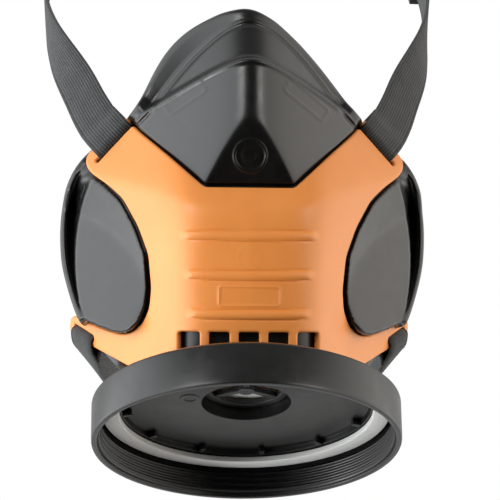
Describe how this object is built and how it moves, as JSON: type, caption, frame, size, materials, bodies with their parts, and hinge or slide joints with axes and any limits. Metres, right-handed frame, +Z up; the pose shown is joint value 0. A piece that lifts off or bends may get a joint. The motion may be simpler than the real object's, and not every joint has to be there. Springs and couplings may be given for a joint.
{
  "type": "half mask respirator",
  "caption": "Half-mask respirator: rubber facepiece in a plastic yoke with vents, a wide threaded filter collar facing down and two elastic straps.",
  "frame": {"origin": "middle of the opening that seals on the face", "axes": "+X to the right as seen from the front, +Y backwards into the face, +Z up"},
  "size_m": [0.1438, 0.2487, 0.2293],
  "materials": {
    "shell_orange": "satin moulded polypropylene",
    "face_rubber": "satin moulded rubber",
    "holder_grey": "satin moulded plastic",
    "plastic_black": "satin moulded plastic",
    "gasket_pale": "matt flat ring",
    "valve_rubber": "soft translucent rubber",
    "webbing": "ribbed elastic webbing"
  },
  "bodies": {
    "mask": {"facepiece": "face_rubber", "front_shell": "shell_orange", "filter_holder": "holder_grey", "filter_gasket": "gasket_pale", "holder_lock_ring": "plastic_black", "inhalation_valve_seat": "plastic_black", "exhalation_valve_seat": "plastic_black"},
    "head_harness": {"upper_strap_left": "webbing", "upper_strap_right": "webbing", "head_cradle": "plastic_black"},
    "slider_left": {"strap_slider_left": "plastic_black"},
    "slider_right": {"strap_slider_right": "plastic_black"},
    "neck_strap_left": {"lower_strap_left": "webbing", "neck_eye": "plastic_black"},
    "neck_strap_right": {"lower_strap_right": "webbing", "neck_hook": "plastic_black"},
    "inhalation_flap": {"inhalation_valve_disc": "valve_rubber"},
    "exhalation_flap": {"exhalation_valve_disc": "valve_rubber"}
  },
  "joints": [
    {"name": "harness_swing", "type": "hinge", "parent": "mask", "child": "head_harness", "pos_m": [0, -0.025, 0.0213], "axis": [1, 0, 0], "range_deg": [-20, 45], "deforming": ["upper_strap_left", "upper_strap_right"]},
    {"name": "slider_left_slide", "type": "slide", "parent": "head_harness", "child": "slider_left", "axis": [0.052, 0.8664, 0.4967], "range_m": [-0.01, 0.01]},
    {"name": "slider_right_slide", "type": "slide", "parent": "head_harness", "child": "slider_right", "axis": [-0.052, 0.8664, 0.4967], "range_m": [-0.01, 0.01]},
    {"name": "neck_strap_left_swing", "type": "hinge", "parent": "mask", "child": "neck_strap_left", "pos_m": [-0.0516, 0.0017, -0.044], "axis": [0, 0, 1], "range_deg": [0, 50], "deforming": ["lower_strap_left"]},
    {"name": "neck_strap_right_swing", "type": "hinge", "parent": "mask", "child": "neck_strap_right", "pos_m": [0.0516, 0.0017, -0.044], "axis": [0, 0, -1], "range_deg": [0, 50], "deforming": ["lower_strap_right"]},
    {"name": "inhalation_lift", "type": "slide", "parent": "mask", "child": "inhalation_flap", "axis": [0, 0.4384, 0.8988], "range_m": [0, 0.0011], "stiffness_N_per_m": 30},
    {"name": "exhalation_lift", "type": "slide", "parent": "mask", "child": "exhalation_flap", "axis": [0, -1, 0], "range_m": [0, 0.0011], "stiffness_N_per_m": 30}
  ]
}
